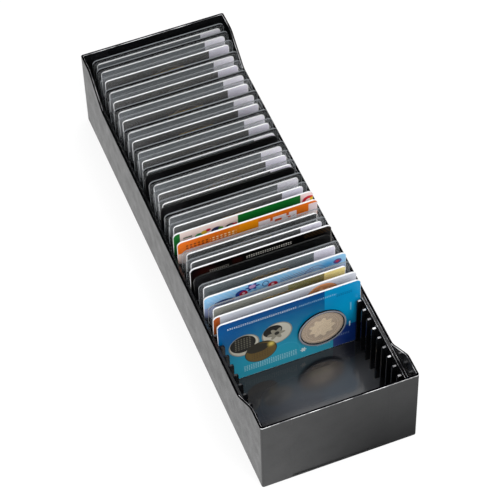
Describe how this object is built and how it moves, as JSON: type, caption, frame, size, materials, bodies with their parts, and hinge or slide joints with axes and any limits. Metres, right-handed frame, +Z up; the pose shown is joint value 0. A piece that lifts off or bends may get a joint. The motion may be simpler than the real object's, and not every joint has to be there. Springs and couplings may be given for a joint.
{
  "type": "slotted card storage box",
  "caption": "Long open moulded box with raised ends and a comb of slots along both sides, filled with clear-cased bar cards, coin cards and plain black dividers.",
  "frame": {"origin": "centre of the tub's flat underside", "axes": "+Y along the tub's length towards its back end, +X to its right side, +Z up"},
  "size_m": [0.0922, 0.2928, 0.059],
  "materials": {
    "tub_plastic": "satin, fine moulded grain outside, glossy inside",
    "divider_plastic": "satin",
    "clear_plastic": "clear, polished",
    "bar_card_print": "printed grey with a white edge and label",
    "green_print": "gloss laminated print",
    "orange_print": "gloss laminated print",
    "black_print": "gloss laminated print",
    "sky_print": "gloss laminated print",
    "pale_print": "gloss laminated print",
    "blue_print": "gloss laminated print",
    "silver_coin": "struck coin",
    "copper_coin": "struck coin"
  },
  "bodies": {
    "tub": {"storage_box": "tub_plastic"},
    "bar_01": {"bar_case_01": "clear_plastic", "bar_card_01": "bar_card_print"},
    "bar_02": {"bar_case_02": "clear_plastic", "bar_card_02": "bar_card_print"},
    "bar_03": {"bar_case_03": "clear_plastic", "bar_card_03": "bar_card_print"},
    "bar_04": {"bar_case_04": "clear_plastic", "bar_card_04": "bar_card_print"},
    "bar_05": {"bar_case_05": "clear_plastic", "bar_card_05": "bar_card_print"},
    "bar_06": {"bar_case_06": "clear_plastic", "bar_card_06": "bar_card_print"},
    "bar_07": {"bar_case_07": "clear_plastic", "bar_card_07": "bar_card_print"},
    "bar_08": {"bar_case_08": "clear_plastic", "bar_card_08": "bar_card_print"},
    "bar_09": {"bar_case_09": "clear_plastic", "bar_card_09": "bar_card_print"},
    "bar_10": {"bar_case_10": "clear_plastic", "bar_card_10": "bar_card_print"},
    "bar_11": {"bar_case_11": "clear_plastic", "bar_card_11": "bar_card_print"},
    "bar_12": {"bar_case_12": "clear_plastic", "bar_card_12": "bar_card_print"},
    "bar_13": {"bar_case_13": "clear_plastic", "bar_card_13": "bar_card_print"},
    "bar_14": {"bar_case_14": "clear_plastic", "bar_card_14": "bar_card_print"},
    "bar_15": {"bar_case_15": "clear_plastic", "bar_card_15": "bar_card_print"},
    "bar_16": {"bar_case_16": "clear_plastic", "bar_card_16": "bar_card_print"},
    "bar_17": {"bar_case_17": "clear_plastic", "bar_card_17": "bar_card_print"},
    "bar_18": {"bar_case_18": "clear_plastic", "bar_card_18": "bar_card_print"},
    "bar_19": {"bar_case_19": "clear_plastic", "bar_card_19": "bar_card_print"},
    "bar_20": {"bar_case_20": "clear_plastic", "bar_card_20": "bar_card_print"},
    "bar_21": {"bar_case_21": "clear_plastic", "bar_card_21": "bar_card_print"},
    "coin_piece_green": {"coin_card_green": "green_print", "coin_green": "silver_coin"},
    "coin_piece_orange": {"coin_card_orange": "orange_print", "coin_orange": "silver_coin"},
    "coin_piece_black": {"coin_card_black": "black_print", "coin_black": "silver_coin"},
    "coin_piece_sky": {"coin_card_sky": "sky_print", "coin_sky": "silver_coin"},
    "coin_piece_pale": {"coin_card_pale": "pale_print", "coin_pale": "copper_coin"},
    "coin_piece_blue": {"coin_card_blue": "blue_print", "coin_blue": "silver_coin", "coin_capsule": "clear_plastic"},
    "divider_body_1": {"divider_1": "divider_plastic"},
    "divider_body_2": {"divider_2": "divider_plastic"},
    "divider_body_3": {"divider_3": "divider_plastic"}
  },
  "joints": [
    {"name": "bar_01_lift", "type": "slide", "parent": "tub", "child": "bar_01", "axis": [0, 0, 1], "range_m": [0, 0.06]},
    {"name": "bar_02_lift", "type": "slide", "parent": "tub", "child": "bar_02", "axis": [0, 0, 1], "range_m": [0, 0.06]},
    {"name": "bar_03_lift", "type": "slide", "parent": "tub", "child": "bar_03", "axis": [0, 0, 1], "range_m": [0, 0.06]},
    {"name": "bar_04_lift", "type": "slide", "parent": "tub", "child": "bar_04", "axis": [0, 0, 1], "range_m": [0, 0.06]},
    {"name": "bar_05_lift", "type": "slide", "parent": "tub", "child": "bar_05", "axis": [0, 0, 1], "range_m": [0, 0.06]},
    {"name": "bar_06_lift", "type": "slide", "parent": "tub", "child": "bar_06", "axis": [0, 0, 1], "range_m": [0, 0.06]},
    {"name": "bar_07_lift", "type": "slide", "parent": "tub", "child": "bar_07", "axis": [0, 0, 1], "range_m": [0, 0.06]},
    {"name": "bar_08_lift", "type": "slide", "parent": "tub", "child": "bar_08", "axis": [0, 0, 1], "range_m": [0, 0.06]},
    {"name": "bar_09_lift", "type": "slide", "parent": "tub", "child": "bar_09", "axis": [0, 0, 1], "range_m": [0, 0.06]},
    {"name": "bar_10_lift", "type": "slide", "parent": "tub", "child": "bar_10", "axis": [0, 0, 1], "range_m": [0, 0.06]},
    {"name": "bar_11_lift", "type": "slide", "parent": "tub", "child": "bar_11", "axis": [0, 0, 1], "range_m": [0, 0.06]},
    {"name": "bar_12_lift", "type": "slide", "parent": "tub", "child": "bar_12", "axis": [0, 0, 1], "range_m": [0, 0.06]},
    {"name": "bar_13_lift", "type": "slide", "parent": "tub", "child": "bar_13", "axis": [0, 0, 1], "range_m": [0, 0.06]},
    {"name": "bar_14_lift", "type": "slide", "parent": "tub", "child": "bar_14", "axis": [0, 0, 1], "range_m": [0, 0.06]},
    {"name": "bar_15_lift", "type": "slide", "parent": "tub", "child": "bar_15", "axis": [0, 0, 1], "range_m": [0, 0.06]},
    {"name": "bar_16_lift", "type": "slide", "parent": "tub", "child": "bar_16", "axis": [0, 0, 1], "range_m": [0, 0.06]},
    {"name": "bar_17_lift", "type": "slide", "parent": "tub", "child": "bar_17", "axis": [0, 0, 1], "range_m": [0, 0.06]},
    {"name": "bar_18_lift", "type": "slide", "parent": "tub", "child": "bar_18", "axis": [0, 0, 1], "range_m": [0, 0.06]},
    {"name": "bar_19_lift", "type": "slide", "parent": "tub", "child": "bar_19", "axis": [0, 0, 1], "range_m": [0, 0.06]},
    {"name": "bar_20_lift", "type": "slide", "parent": "tub", "child": "bar_20", "axis": [0, 0, 1], "range_m": [0, 0.06]},
    {"name": "bar_21_lift", "type": "slide", "parent": "tub", "child": "bar_21", "axis": [0, 0, 1], "range_m": [0, 0.06]},
    {"name": "coin_piece_green_lift", "type": "slide", "parent": "tub", "child": "coin_piece_green", "axis": [0, 0, 1], "range_m": [0, 0.06]},
    {"name": "coin_piece_orange_lift", "type": "slide", "parent": "tub", "child": "coin_piece_orange", "axis": [0, 0, 1], "range_m": [0, 0.06]},
    {"name": "coin_piece_black_lift", "type": "slide", "parent": "tub", "child": "coin_piece_black", "axis": [0, 0, 1], "range_m": [0, 0.06]},
    {"name": "coin_piece_sky_lift", "type": "slide", "parent": "tub", "child": "coin_piece_sky", "axis": [0, 0, 1], "range_m": [0, 0.06]},
    {"name": "coin_piece_pale_lift", "type": "slide", "parent": "tub", "child": "coin_piece_pale", "axis": [0, 0, 1], "range_m": [0, 0.06]},
    {"name": "coin_piece_blue_lift", "type": "slide", "parent": "tub", "child": "coin_piece_blue", "axis": [0, 0, 1], "range_m": [0, 0.06]},
    {"name": "divider_body_1_lift", "type": "slide", "parent": "tub", "child": "divider_body_1", "axis": [0, 0, 1], "range_m": [0, 0.06]},
    {"name": "divider_body_2_lift", "type": "slide", "parent": "tub", "child": "divider_body_2", "axis": [0, 0, 1], "range_m": [0, 0.06]},
    {"name": "divider_body_3_lift", "type": "slide", "parent": "tub", "child": "divider_body_3", "axis": [0, 0, 1], "range_m": [0, 0.06]}
  ]
}
